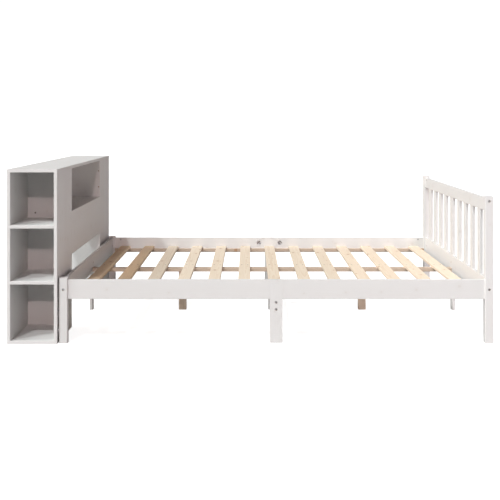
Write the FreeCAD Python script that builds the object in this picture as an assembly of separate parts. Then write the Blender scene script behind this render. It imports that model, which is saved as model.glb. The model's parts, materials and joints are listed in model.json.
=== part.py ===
"""Bookcase headboard bed in white lacquered pine, with a natural pine slat base.

Millimetres. +X runs from the head to the foot, +Z is up, and the origin is at the middle of the
floor under the whole bed. "left" is the +Y side, the left hand of someone sitting up in the bed.

The bookcase headboard is two side modules, open to the outside, with a centre section between
them: a niche open to the bed above, a front panel below it, and nothing behind the lowest part.
The frame comes apart: the rails are drawn up to the posts by bolts in barrel nuts, and each side
rail is two halves, drawn up to a post at mid-length by a rod with a nut in a round pocket.

What is alike on both sides is made at +Y and mirrored. The wood is made whole, and then each
fastening cuts its bores in whatever wood it passes through.
"""

import FreeCAD, Part
import math
import os

Vector = FreeCAD.Vector
X_AXIS, Y_AXIS, Z_AXIS = Vector(1, 0, 0), Vector(0, 1, 0), Vector(0, 0, 1)
HEAD, FOOT = -1, 1  # the two ends along X

# ---- Driving dimensions ----------------------------------------------------------------------

# Bed frame, over the posts' outer faces
BED_LENGTH = 2055.0
BED_WIDTH = 1655.0

# Bookcase
CASE_OVERHANG = 12.5  # past the posts on each side
CASE_DEPTH = 237.0
CASE_HEIGHT = 825.0
CASE_GAP = 7.0  # between the bookcase and the head posts
BOARD = 15.0  # thickness of every bookcase board
MODULE_WIDTH = 381.0  # of one side module, with its divider
LOWER_SHELF_TOP = 296.0
UPPER_SHELF_TOP = 560.0
NICHE_SHELF_TOP = 592.0
CENTRE_PANEL_HEIGHT = 220.0
BOARD_EASE = 0.8

# Posts
POST = 39.0
POST_ROUNDING = 3.0
HEAD_POST_RISE = 5.0  # above the head rail
FOOT_POST_HEIGHT = 695.0

# Side rails, each in two halves with a post between them
RAIL_THICKNESS = 18.0
SIDE_RAIL_BOTTOM = 208.0
SIDE_RAIL_HEIGHT = 92.5
MID_POST_WIDTH = 60.0
FRAME_EASE = 1.5

# Cross rails at the head and at the foot
LOW_RAIL_RISE = 2.0  # above the side rails' lower edge
LOW_RAIL_HEIGHT = 95.0
TOP_RAIL_DROP = 10.0  # below the foot posts' tops
TOP_RAIL_HEIGHT = 61.0

# Uprights of the footboard, housed in the cross rails
BAR_WIDTH = 57.0
BAR_THICKNESS = 15.0
BARS_PER_SIDE = 4
STILE_WIDTH = 76.0
GAP_BY_STILE = 110.5
GAP_BY_POST = 118.0
TENON = 10.0
MORTISE_CLEARANCE = 0.2

# Slat base
SLAT_COUNT = 13
SLAT_WIDTH = 62.0
SLAT_THICKNESS = 15.0
SLAT_DROP = 52.5  # from the side rails' top to the slats' top
SLAT_SIDE_CLEARANCE = 3.0
GAP_BY_CROSS_RAIL = 46.6
BATTEN = 20.0  # width and height of the battens, and height of the centre beam
CENTRE_BEAM_WIDTH = 48.0

# Legs and the beam under the middle
CROSS_BEAM_WIDTH = 40.0
CROSS_BEAM_HEIGHT = 70.0
CENTRE_LEG = (46.0, 32.0)
PINE_LEG = (42.0, 32.0)
PINE_LEG_SPREAD = 500.0  # from mid-length to the middle of each pine leg
END_LEG = (15.5, 52.0)

# Bolts and barrel nuts
BOLT_RADIUS = 3.0
BOLT_HEAD_RADIUS = 5.0
BOLT_HEAD_HEIGHT = 5.0
SOCKET_FLATS = 4.0
SOCKET_DEPTH = 3.0
BOLT_CLEARANCE = 0.25
BOLT_END_ROOM = 1.0
COUNTERBORE_RADIUS = 6.0
COUNTERBORE_DEPTH = 9.0
NUT_RADIUS = 5.0
NUT_LENGTH = 14.0
NUT_CLEARANCE = 0.1
NUT_SETBACK = 35.0  # from a joint's face to a barrel nut's middle
SIDE_RAIL_BOLT_MARGIN = 11.0  # from a side rail's edges to its two bolts
LOW_RAIL_BOLT_RISE = 44.5
TOP_RAIL_BOLT_RISE = 48.5
CROSS_BEAM_BOLT_RISES = (16.0, 49.0)
CENTRE_BEAM_BOLT_OFFSET = 12.0  # from the centre line, beside the end leg's stud
FACETS = 8  # of the small round pieces and of the bores that hide them
HEAD_FACETS = 10

# Rods that draw the side rail halves to the mid post
POCKET_OFFSET = 67.0  # from mid-length to the middle of a pocket
POCKET_RADIUS = 14.0
POCKET_RISE = 59.0  # above the side rails' lower edge
POCKET_ROOM = 1.5  # past the nut that turns in the pocket
WASHER_DEPTH = 7.0
WASHER_CLEARANCE = 0.3
ROD_NUT_FLATS = 10.0
ROD_NUT_HEIGHT = 5.0
ROD_PAST_NUT = 2.5

# Studs that hold the end legs under the cross rails
STUD_NUT_RISE = 52.0
STUD_IN_LEG = 45.0

# Link from the bookcase to the head posts
LINK_HEIGHTS = (60.0, 160.0)
LINK_REACH = 28.0  # of the bolt in the post
SPACER_RADIUS = 9.0

# Dowels
DOWEL_RADIUS = 4.0
DOWEL_LENGTH = 30.0
DOWEL_CLEARANCE = 0.1
DOWEL_IN_POST = 12.0
DOWEL_IN_BOARD = 9.0  # where it stands in a bookcase board's face
RAIL_DOWEL_RISE = 18.0  # above a rail's lower edge
SHELF_DOWEL_INSET = 60.0  # from a shelf's ends
EDGE_PITCH = 96.0  # of the dowel holes along the front columns' inner edges
EDGE_FIRST_DROP = 37.0  # from the centre panel's top to its upper dowel

# ---- Places that follow from them ------------------------------------------------------------

OVERALL_LENGTH = CASE_DEPTH + CASE_GAP + BED_LENGTH
CASE_BACK = -OVERALL_LENGTH / 2
CASE_FRONT = CASE_BACK + CASE_DEPTH
BED_HEAD = CASE_FRONT + CASE_GAP
BED_FOOT = BED_HEAD + BED_LENGTH
BED_MID = (BED_HEAD + BED_FOOT) / 2
HALF_BED = BED_WIDTH / 2
HALF_CASE = HALF_BED + CASE_OVERHANG

CASE_TOP_UNDER = CASE_HEIGHT - BOARD
CASE_INNER_BACK = CASE_BACK + BOARD
CASE_INNER_FRONT = CASE_FRONT - BOARD
BACK_MID = CASE_BACK + BOARD / 2
FRONT_MID = CASE_FRONT - BOARD / 2
DIVIDER_INNER = HALF_CASE - MODULE_WIDTH
DIVIDER_OUTER = DIVIDER_INNER + BOARD
NICHE_SHELF_UNDER = NICHE_SHELF_TOP - BOARD
SHELF_TOPS = {"base_board": BOARD, "lower_shelf": LOWER_SHELF_TOP, "upper_shelf": UPPER_SHELF_TOP}

POST_Y = HALF_BED - POST / 2
POST_INNER = HALF_BED - POST
POST_X = {HEAD: BED_HEAD + POST / 2, FOOT: BED_FOOT - POST / 2}
RAIL_INNER = POST_Y - RAIL_THICKNESS / 2
RAIL_OUTER = POST_Y + RAIL_THICKNESS / 2
CROSS_RAIL_INNER = {HEAD: POST_X[HEAD] + RAIL_THICKNESS / 2, FOOT: POST_X[FOOT] - RAIL_THICKNESS / 2}
SIDE_RAIL_TOP = SIDE_RAIL_BOTTOM + SIDE_RAIL_HEIGHT
LOW_RAIL_BOTTOM = SIDE_RAIL_BOTTOM + LOW_RAIL_RISE
LOW_RAIL_TOP = LOW_RAIL_BOTTOM + LOW_RAIL_HEIGHT
TOP_RAIL_BOTTOM = FOOT_POST_HEIGHT - TOP_RAIL_DROP - TOP_RAIL_HEIGHT
HEAD_POST_HEIGHT = LOW_RAIL_TOP + HEAD_POST_RISE

SLAT_TOP = SIDE_RAIL_TOP - SLAT_DROP
SLAT_BOTTOM = SLAT_TOP - SLAT_THICKNESS
BATTEN_BOTTOM = SLAT_BOTTOM - BATTEN
CROSS_BEAM_BOTTOM = BATTEN_BOTTOM - CROSS_BEAM_HEIGHT
FIRST_SLAT = CROSS_RAIL_INNER[HEAD] + GAP_BY_CROSS_RAIL + SLAT_WIDTH / 2
LAST_SLAT = CROSS_RAIL_INNER[FOOT] - GAP_BY_CROSS_RAIL - SLAT_WIDTH / 2
FIRST_BAR = STILE_WIDTH / 2 + GAP_BY_STILE + BAR_WIDTH / 2
LAST_BAR = POST_INNER - GAP_BY_POST - BAR_WIDTH / 2

BOLT_BORE = BOLT_RADIUS + BOLT_CLEARANCE
POCKET_HEIGHT = SIDE_RAIL_BOTTOM + POCKET_RISE
POCKET_DEPTH = RAIL_THICKNESS / 2 + ROD_NUT_FLATS / 2 + POCKET_ROOM
WASHER_LENGTH = 2 * (POCKET_DEPTH - RAIL_THICKNESS / 2 - WASHER_CLEARANCE)
WASHER_FLAT = POCKET_OFFSET - POCKET_RADIUS + WASHER_DEPTH  # from mid-length to its flat face
ROD_END = WASHER_FLAT + ROD_NUT_HEIGHT + ROD_PAST_NUT
STUD_LENGTH = STUD_IN_LEG + STUD_NUT_RISE + NUT_RADIUS + BOLT_END_ROOM


# ---- Shapes ----------------------------------------------------------------------------------


def box(x_span, y_span, z_span):
    """A block between two ends on each axis."""
    low = [min(span) for span in (x_span, y_span, z_span)]
    size = [abs(span[1] - span[0]) for span in (x_span, y_span, z_span)]
    return Part.makeBox(*size, Vector(*low))


def about(middle, width):
    """The two ends of a width laid evenly about its middle."""
    return (middle - width / 2, middle + width / 2)


def spaced(first, last, count):
    """Places laid evenly from the first to the last."""
    return [first + (last - first) * i / (count - 1) for i in range(count)]


def edges_along(solid, axis):
    return [edge for edge in solid.Edges if abs(edge.tangentAt(edge.FirstParameter).dot(axis)) > 0.999]


def eased(solid, width, axis):
    """The solid with a narrow chamfer on its edges along one axis."""
    return solid.makeChamfer(width, edges_along(solid, axis))


def rounded(solid, radius, axis):
    """The solid with its edges along one axis rounded."""
    return solid.makeFillet(radius, edges_along(solid, axis))


def prism(start, direction, corner_radius, sides, length):
    """A bar of a regular section, by the radius of its corners."""
    turns = [2 * math.pi * (i + 0.5) / sides for i in range(sides + 1)]
    points = [Vector(corner_radius * math.cos(turn), corner_radius * math.sin(turn), 0) for turn in turns]
    solid = Part.Face(Part.makePolygon(points)).extrude(Vector(0, 0, length))
    solid.Placement = FreeCAD.Placement(start, FreeCAD.Rotation(Z_AXIS, direction))
    return solid


def peg(start, direction, radius, length, facets=FACETS):
    """A small round piece, with its facets' corners on the radius."""
    return prism(start, direction, radius, facets, length)


def bore(start, direction, radius, length, facets=FACETS):
    """The room for a small round piece, with its facets' flats on the radius."""
    return prism(start, direction, radius / math.cos(math.pi / facets), facets, length)


def hex_bar(start, direction, flats, length):
    """A six-sided bar, by its width across flats."""
    return prism(start, direction, flats / math.sqrt(3), 6, length)


def cylinder(start, direction, radius, length):
    return Part.makeCylinder(radius, length, start, direction)


def mirrored(solid):
    """The solid on the bed's other side."""
    return solid.mirror(Vector(0, 0, 0), Y_AXIS)


def meets(solid, tool):
    """Whether the two solids' boxes overlap."""
    a, b = solid.BoundBox, tool.BoundBox
    margin = 0.01
    return (
        min(a.XMax, b.XMax) - max(a.XMin, b.XMin) > margin
        and min(a.YMax, b.YMax) - max(a.YMin, b.YMin) > margin
        and min(a.ZMax, b.ZMax) - max(a.ZMin, b.ZMin) > margin
    )


def bored(solid, bores):
    """The solid with the bores that pass through it cut out."""
    near = [tool for tool in bores if meets(solid, tool)]
    return solid.cut(near).removeSplitter() if near else solid


# ---- Fastenings ------------------------------------------------------------------------------


class Fastenings:
    """The hardware by node, and the bores that it needs in the wood."""

    def __init__(self):
        self.bores = []
        self.pieces = {}

    def add(self, node, piece, bores=()):
        self.pieces.setdefault(node, []).append(piece)
        self.bores += bores

    def mirror(self):
        """Repeat everything so far on the other side."""
        self.bores += [mirrored(tool) for tool in self.bores]
        for solids in self.pieces.values():
            solids += [mirrored(solid) for solid in solids]

    def joint(self, outer, direction, first_depth, nut_mouth, nut_depth):
        """Draw one piece of wood to another by a bolt in a barrel nut.

        outer is where the bolt's line leaves the first piece, which it crosses in first_depth.
        The nut lies nut_depth inside the second piece and goes in by the face that nut_mouth
        points out of.
        """
        seat = outer + direction * COUNTERBORE_DEPTH
        middle = outer + direction * (first_depth + NUT_SETBACK)
        length = (middle - seat).Length + NUT_RADIUS + BOLT_END_ROOM
        bores = [
            bore(outer, direction, COUNTERBORE_RADIUS, COUNTERBORE_DEPTH, HEAD_FACETS),
            bore(seat, direction, BOLT_BORE, length + BOLT_END_ROOM),
            nut_bore(middle, nut_mouth, nut_depth),
        ]
        self.add("frame_bolts", bolt(seat, direction, length), bores)
        self.add("barrel_nuts", barrel_nut(middle, nut_mouth, direction))

    def dowel(self, face_point, direction, depth_before):
        """A dowel across a joint's face, with part of its length before the face."""
        start = face_point - direction * depth_before
        room = bore(start, direction, DOWEL_RADIUS + DOWEL_CLEARANCE, DOWEL_LENGTH)
        self.add("dowels", peg(start, direction, DOWEL_RADIUS, DOWEL_LENGTH), [room])


def bolt(seat, direction, length):
    """A socket head bolt, its head on its seat and its shank along the direction."""
    top = seat - direction * BOLT_HEAD_HEIGHT
    head = peg(top, direction, BOLT_HEAD_RADIUS, BOLT_HEAD_HEIGHT, HEAD_FACETS)
    shank = peg(seat, direction, BOLT_RADIUS, length)
    return head.fuse(shank).removeSplitter().cut(hex_bar(top, direction, SOCKET_FLATS, SOCKET_DEPTH))


def barrel_nut(middle, axis, bolt_direction):
    """A round nut that lies across its bolt."""
    barrel = peg(middle - axis * (NUT_LENGTH / 2), axis, NUT_RADIUS, NUT_LENGTH)
    return barrel.cut(bore(middle - bolt_direction * NUT_RADIUS, bolt_direction, BOLT_RADIUS, 2 * NUT_RADIUS))


def nut_bore(middle, mouth, depth):
    """The bore of a barrel nut, open at the face that it goes in by."""
    start = middle - mouth * (NUT_LENGTH / 2)
    return bore(start, mouth, NUT_RADIUS + NUT_CLEARANCE, NUT_LENGTH / 2 + depth)


def post_joints(fastenings, end):
    """Side rail and cross rails to the +Y post at one end."""
    outer_x = POST_X[end] + end * POST / 2
    for z in (SIDE_RAIL_BOTTOM + SIDE_RAIL_BOLT_MARGIN, SIDE_RAIL_TOP - SIDE_RAIL_BOLT_MARGIN):
        outer = Vector(outer_x, POST_Y, z)
        fastenings.joint(outer, X_AXIS * -end, POST, -Y_AXIS, RAIL_THICKNESS / 2)
    rails = [(LOW_RAIL_BOTTOM, LOW_RAIL_BOLT_RISE)]
    if end == FOOT:
        rails.append((TOP_RAIL_BOTTOM, TOP_RAIL_BOLT_RISE))
    for bottom, bolt_rise in rails:
        outer = Vector(POST_X[end], HALF_BED, bottom + bolt_rise)
        fastenings.joint(outer, -Y_AXIS, POST, X_AXIS * -end, RAIL_THICKNESS / 2)
        face = Vector(POST_X[end], POST_INNER, bottom + RAIL_DOWEL_RISE)
        fastenings.dowel(face, -Y_AXIS, DOWEL_IN_POST)


def mid_post_joints(fastenings):
    """Side rail halves and the cross beam to the +Y mid post."""
    for rise in CROSS_BEAM_BOLT_RISES:
        outer = Vector(BED_MID, RAIL_OUTER, CROSS_BEAM_BOTTOM + rise)
        fastenings.joint(outer, -Y_AXIS, RAIL_THICKNESS, -X_AXIS, CROSS_BEAM_WIDTH / 2)
    middle = Vector(BED_MID, POST_Y, POCKET_HEIGHT)
    start = middle - X_AXIS * ROD_END
    room = bore(start, X_AXIS, BOLT_BORE, 2 * ROD_END)
    fastenings.add("threaded_rods", peg(start, X_AXIS, BOLT_RADIUS, 2 * ROD_END), [room])
    for end in (HEAD, FOOT):
        mouth = Vector(BED_MID + end * POCKET_OFFSET, RAIL_INNER, POCKET_HEIGHT)
        pocket = cylinder(mouth, Y_AXIS, POCKET_RADIUS, POCKET_DEPTH)
        fastenings.add("crescent_washers", crescent_washer(middle, end))
        fastenings.add("rod_nuts", rod_nut(middle, end), [pocket])
        face = Vector(BED_MID + end * MID_POST_WIDTH / 2, POST_Y, SIDE_RAIL_BOTTOM + RAIL_DOWEL_RISE)
        fastenings.dowel(face, X_AXIS * end, DOWEL_IN_POST)


def crescent_washer(middle, end):
    """A half-moon washer against its pocket's wall, with the rod through it."""
    centre = middle + X_AXIS * (end * POCKET_OFFSET) - Y_AXIS * (WASHER_LENGTH / 2)
    disc = cylinder(centre, Y_AXIS, POCKET_RADIUS - WASHER_CLEARANCE, WASHER_LENGTH)
    flat = middle.x + end * WASHER_FLAT
    reach = 2 * POCKET_RADIUS
    keep = box((flat, flat - end * reach), about(POST_Y, 2 * WASHER_LENGTH), about(middle.z, 2 * reach))
    return disc.common(keep).cut(bore(middle, X_AXIS * end, BOLT_BORE, POCKET_OFFSET))


def rod_nut(middle, end):
    start = middle + X_AXIS * (end * WASHER_FLAT)
    nut = hex_bar(start, X_AXIS * end, ROD_NUT_FLATS, ROD_NUT_HEIGHT)
    return nut.cut(bore(start, X_AXIS * end, BOLT_RADIUS, ROD_NUT_HEIGHT))


def bookcase_joints(fastenings):
    """Dowels of the +Y half of the bookcase, and its link to the head post."""
    for y in (DIVIDER_OUTER + SHELF_DOWEL_INSET, HALF_CASE - SHELF_DOWEL_INSET):
        for x in (BACK_MID, FRONT_MID):
            fastenings.dowel(Vector(x, y, CASE_TOP_UNDER), -Z_AXIS, DOWEL_IN_BOARD)
        for top in (LOWER_SHELF_TOP, UPPER_SHELF_TOP):
            fastenings.dowel(Vector(CASE_INNER_FRONT, y, top - BOARD / 2), -X_AXIS, DOWEL_IN_BOARD)
    fastenings.dowel(Vector(BACK_MID, DIVIDER_INNER / 2, CASE_TOP_UNDER), -Z_AXIS, DOWEL_IN_BOARD)

    upper = NICHE_SHELF_TOP - EDGE_FIRST_DROP
    for z in (upper, upper - EDGE_PITCH):
        fastenings.dowel(Vector(FRONT_MID, DIVIDER_INNER, z), Y_AXIS, DOWEL_LENGTH / 2)
    fastenings.bores += open_edge_holes(upper)

    length = BOARD + CASE_GAP + LINK_REACH
    for z in LINK_HEIGHTS:
        seat = Vector(CASE_INNER_FRONT, POST_Y, z)
        face = Vector(CASE_FRONT, POST_Y, z)
        room = bore(seat, X_AXIS, BOLT_BORE, length + BOLT_END_ROOM)
        fastenings.add("frame_bolts", bolt(seat, X_AXIS, length), [room])
        ring = peg(face, X_AXIS, SPACER_RADIUS, CASE_GAP, HEAD_FACETS)
        fastenings.add("link_spacers", ring.cut(bore(face, X_AXIS, BOLT_BORE, CASE_GAP)))


def open_edge_holes(upper_dowel):
    """The rest of the row of dowel holes, left open in the front column's edge by the niche."""
    holes = []
    z = upper_dowel + EDGE_PITCH
    while z + DOWEL_RADIUS < CASE_TOP_UNDER:
        start = Vector(FRONT_MID, DIVIDER_INNER, z)
        holes.append(bore(start, Y_AXIS, DOWEL_RADIUS + DOWEL_CLEARANCE, DOWEL_LENGTH / 2))
        z += EDGE_PITCH
    return holes


def centre_line_joints(fastenings):
    """Centre beam and end legs to the low cross rails."""
    for end in (HEAD, FOOT):
        outer_x = POST_X[end] + end * RAIL_THICKNESS / 2
        outer = Vector(outer_x, CENTRE_BEAM_BOLT_OFFSET, BATTEN_BOTTOM + BATTEN / 2)
        fastenings.joint(outer, X_AXIS * -end, RAIL_THICKNESS, -Z_AXIS, BATTEN / 2)
        start = Vector(POST_X[end], 0, LOW_RAIL_BOTTOM - STUD_IN_LEG)
        nut = Vector(POST_X[end], 0, LOW_RAIL_BOTTOM + STUD_NUT_RISE)
        rooms = [
            bore(start, Z_AXIS, BOLT_BORE, STUD_LENGTH + BOLT_END_ROOM),
            nut_bore(nut, X_AXIS * -end, RAIL_THICKNESS / 2),
        ]
        fastenings.add("threaded_rods", peg(start, Z_AXIS, BOLT_RADIUS, STUD_LENGTH), rooms)
        fastenings.add("barrel_nuts", barrel_nut(nut, X_AXIS * -end, Z_AXIS))


def all_fastenings():
    fastenings = Fastenings()
    for end in (HEAD, FOOT):
        post_joints(fastenings, end)
    mid_post_joints(fastenings)
    bookcase_joints(fastenings)
    fastenings.mirror()
    centre_line_joints(fastenings)
    return fastenings


# ---- Bookcase --------------------------------------------------------------------------------


def module_boards():
    """The boards of the +Y side module."""
    width = (DIVIDER_INNER, HALF_CASE)
    height = (0, CASE_TOP_UNDER)
    inside = (CASE_INNER_BACK, CASE_INNER_FRONT)
    boards = {
        "front_column": eased(box((CASE_INNER_FRONT, CASE_FRONT), width, height), BOARD_EASE, Z_AXIS),
        "module_back": eased(box((CASE_BACK, CASE_INNER_BACK), width, height), BOARD_EASE, Z_AXIS),
        "divider": box(inside, (DIVIDER_INNER, DIVIDER_OUTER), height),
    }
    for name, top in SHELF_TOPS.items():
        shelf = box(inside, (DIVIDER_OUTER, HALF_CASE), (top - BOARD, top))
        boards[name] = eased(shelf, BOARD_EASE, X_AXIS)
    return boards


def centre_boards():
    """The boards between the side modules, and the top over the whole bookcase."""
    width = (-DIVIDER_INNER, DIVIDER_INNER)
    back = (CASE_BACK, CASE_INNER_BACK)
    front = (CASE_INNER_FRONT, CASE_FRONT)
    panel_height = (NICHE_SHELF_TOP - CENTRE_PANEL_HEIGHT, NICHE_SHELF_TOP)
    top = box((CASE_BACK, CASE_FRONT), (-HALF_CASE, HALF_CASE), (CASE_TOP_UNDER, CASE_HEIGHT))
    return {
        "bookcase_top": eased(top, BOARD_EASE, Y_AXIS),
        "niche_shelf": box((CASE_INNER_BACK, CASE_INNER_FRONT), width, (NICHE_SHELF_UNDER, NICHE_SHELF_TOP)),
        "niche_back_panel": eased(box(back, width, (NICHE_SHELF_UNDER, CASE_TOP_UNDER)), BOARD_EASE, Y_AXIS),
        "front_centre_panel": eased(box(front, width, panel_height), BOARD_EASE, Y_AXIS),
    }


# ---- Bed frame -------------------------------------------------------------------------------


def post(end, height):
    """The +Y post at one end."""
    return rounded(box(about(POST_X[end], POST), (POST_INNER, HALF_BED), (0, height)), POST_ROUNDING, Z_AXIS)


def side_rail_half(end):
    """Half of the +Y side rail, from the post at one end to the mid post."""
    at_post = POST_X[end] - end * POST / 2
    at_middle = BED_MID + end * MID_POST_WIDTH / 2
    rail = box((at_post, at_middle), (RAIL_INNER, RAIL_OUTER), (SIDE_RAIL_BOTTOM, SIDE_RAIL_TOP))
    return eased(rail, FRAME_EASE, X_AXIS)


def mid_post():
    """The +Y post between the side rail halves."""
    solid = box(about(BED_MID, MID_POST_WIDTH), (RAIL_INNER, RAIL_OUTER), (0, SIDE_RAIL_TOP))
    return eased(solid, BOARD_EASE, Z_AXIS)


def cross_rail(end, bottom, height):
    rail = box(about(POST_X[end], RAIL_THICKNESS), (-POST_INNER, POST_INNER), (bottom, bottom + height))
    return eased(rail, FRAME_EASE, Y_AXIS)


def foot_rail(bottom, height, mortise_bottom):
    """A cross rail at the foot with the mortises of the uprights."""
    slack = 2 * MORTISE_CLEARANCE
    mortises = [
        box(
            about(POST_X[FOOT], BAR_THICKNESS + slack),
            about(y, width + slack),
            (mortise_bottom, mortise_bottom + TENON),
        )
        for y, width in uprights()
    ]
    return cross_rail(FOOT, bottom, height).cut(mortises)


def uprights():
    """The middle and width of each upright of the footboard, the centre stile first."""
    bars = [(side * y, BAR_WIDTH) for y in spaced(FIRST_BAR, LAST_BAR, BARS_PER_SIDE) for side in (-1, 1)]
    return [(0.0, STILE_WIDTH)] + bars


def upright(y, width):
    reach = TENON - MORTISE_CLEARANCE
    span = (LOW_RAIL_TOP - reach, TOP_RAIL_BOTTOM + reach)
    return eased(box(about(POST_X[FOOT], BAR_THICKNESS), about(y, width), span), FRAME_EASE, Z_AXIS)


def cross_beam():
    """The beam between the mid posts, under the centre beam and the battens."""
    height = (CROSS_BEAM_BOTTOM, BATTEN_BOTTOM)
    beam = box(about(BED_MID, CROSS_BEAM_WIDTH), (-RAIL_INNER, RAIL_INNER), height)
    return eased(beam, FRAME_EASE, Y_AXIS)


def leg(x, section, top):
    """An upright on the bed's centre line, from the floor to its load."""
    return eased(box(about(x, section[0]), about(0, section[1]), (0, top)), FRAME_EASE, Z_AXIS)


# ---- Slat base -------------------------------------------------------------------------------


def batten(end):
    """Half of the +Y batten on the side rail's inner face."""
    low, high = sorted((CROSS_RAIL_INNER[end], POST_X[end] - end * POST / 2))
    start = high if end == HEAD else low
    solid = box((start, BED_MID), (RAIL_INNER - BATTEN, RAIL_INNER), (BATTEN_BOTTOM, SLAT_BOTTOM))
    return eased(solid, FRAME_EASE, X_AXIS)


def centre_beam(end):
    """Half of the beam under the slats' middles."""
    solid = box((CROSS_RAIL_INNER[end], BED_MID), about(0, CENTRE_BEAM_WIDTH), (BATTEN_BOTTOM, SLAT_BOTTOM))
    return eased(solid, FRAME_EASE, X_AXIS)


def slats():
    """The slats by name, the first at the head."""
    half = RAIL_INNER - SLAT_SIDE_CLEARANCE
    named = {}
    for number, x in enumerate(spaced(FIRST_SLAT, LAST_SLAT, SLAT_COUNT), 1):
        solid = box(about(x, SLAT_WIDTH), (-half, half), (SLAT_BOTTOM, SLAT_TOP))
        named[f"slat_{number:02d}"] = eased(solid, FRAME_EASE, Y_AXIS)
    return named


# ---- The whole bed ---------------------------------------------------------------------------


def paired_wood():
    """The wood that each side has, made at +Y."""
    paired = module_boards()
    paired["head_post"] = post(HEAD, HEAD_POST_HEIGHT)
    paired["foot_post"] = post(FOOT, FOOT_POST_HEIGHT)
    paired["side_rail_head"] = side_rail_half(HEAD)
    paired["side_rail_foot"] = side_rail_half(FOOT)
    paired["mid_post"] = mid_post()
    return paired


def wood():
    """Every wooden node's solids, without bores."""
    nodes = {name: [solid] for name, solid in (centre_boards() | slats()).items()}
    for name, solid in paired_wood().items():
        nodes[f"{name}_left"] = [solid]
        nodes[f"{name}_right"] = [mirrored(solid)]
    nodes["head_rail"] = [cross_rail(HEAD, LOW_RAIL_BOTTOM, LOW_RAIL_HEIGHT)]
    nodes["foot_lower_rail"] = [foot_rail(LOW_RAIL_BOTTOM, LOW_RAIL_HEIGHT, LOW_RAIL_TOP - TENON)]
    nodes["foot_top_rail"] = [foot_rail(TOP_RAIL_BOTTOM, TOP_RAIL_HEIGHT, TOP_RAIL_BOTTOM)]
    stile, *bars = [upright(y, width) for y, width in uprights()]
    nodes["foot_centre_stile"] = [stile]
    nodes["foot_bars"] = bars
    nodes["cross_beam"] = [cross_beam()]
    nodes["centre_leg"] = [leg(BED_MID, CENTRE_LEG, CROSS_BEAM_BOTTOM)]
    for end, name in ((HEAD, "head"), (FOOT, "foot")):
        nodes[f"end_leg_{name}"] = [leg(POST_X[end], END_LEG, LOW_RAIL_BOTTOM)]
        nodes[f"pine_leg_{name}"] = [leg(BED_MID + end * PINE_LEG_SPREAD, PINE_LEG, BATTEN_BOTTOM)]
        nodes[f"centre_beam_{name}"] = [centre_beam(end)]
    battens = [batten(HEAD), batten(FOOT)]
    nodes["side_battens"] = battens + [mirrored(solid) for solid in battens]
    return nodes


def whole_bed():
    """Every node's name and its solids."""
    fastenings = all_fastenings()
    nodes = {
        name: [bored(solid, fastenings.bores) for solid in solids] for name, solids in wood().items()
    }
    return nodes | fastenings.pieces


def write(nodes):
    """One STEP file per node."""
    os.makedirs("parts", exist_ok=True)
    for name, solids in nodes.items():
        shape = solids[0] if len(solids) == 1 else Part.makeCompound(solids)
        shape.exportStep(f"parts/{name}.step")
    print(len(nodes), "nodes")


write(whole_bed())
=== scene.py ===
import json
import math
import random

import bmesh
import bpy
from mathutils import Matrix, Vector

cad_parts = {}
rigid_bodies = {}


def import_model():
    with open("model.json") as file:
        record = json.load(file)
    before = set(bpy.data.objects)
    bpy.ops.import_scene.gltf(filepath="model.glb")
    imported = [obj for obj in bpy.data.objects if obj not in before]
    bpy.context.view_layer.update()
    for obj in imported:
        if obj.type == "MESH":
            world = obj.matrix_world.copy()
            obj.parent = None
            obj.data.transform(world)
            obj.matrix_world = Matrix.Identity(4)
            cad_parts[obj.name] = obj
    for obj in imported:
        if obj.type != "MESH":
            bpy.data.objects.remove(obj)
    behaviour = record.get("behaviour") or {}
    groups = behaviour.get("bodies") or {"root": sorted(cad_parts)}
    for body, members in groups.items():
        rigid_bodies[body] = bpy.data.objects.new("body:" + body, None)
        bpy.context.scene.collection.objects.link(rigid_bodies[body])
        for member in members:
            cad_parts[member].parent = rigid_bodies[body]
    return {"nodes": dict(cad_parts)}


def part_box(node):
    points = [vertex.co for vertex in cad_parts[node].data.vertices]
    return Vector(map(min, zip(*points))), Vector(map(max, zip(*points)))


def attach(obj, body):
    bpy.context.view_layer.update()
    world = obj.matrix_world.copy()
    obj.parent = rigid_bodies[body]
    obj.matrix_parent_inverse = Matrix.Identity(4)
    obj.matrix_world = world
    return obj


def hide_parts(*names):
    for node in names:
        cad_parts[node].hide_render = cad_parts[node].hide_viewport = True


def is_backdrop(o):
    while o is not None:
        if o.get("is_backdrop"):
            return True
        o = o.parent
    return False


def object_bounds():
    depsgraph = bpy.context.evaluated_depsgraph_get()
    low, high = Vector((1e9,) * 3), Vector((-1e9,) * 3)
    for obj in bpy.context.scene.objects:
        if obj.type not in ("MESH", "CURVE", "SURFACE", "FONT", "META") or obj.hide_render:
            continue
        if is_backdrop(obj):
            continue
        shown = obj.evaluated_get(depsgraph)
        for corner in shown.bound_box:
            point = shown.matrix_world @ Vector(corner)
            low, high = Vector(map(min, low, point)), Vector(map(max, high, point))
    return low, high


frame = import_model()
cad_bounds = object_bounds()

bl_info = {
    "name": "Bookcase headboard bed",
    "version": (1, 0, 0),
    "blender": (4, 5, 0),
    "location": "View3D > Sidebar > Bed",
    "description": "Builds a white lacquered pine bed with a bookcase headboard around its CAD frame",
    "category": "Object",
}

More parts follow.
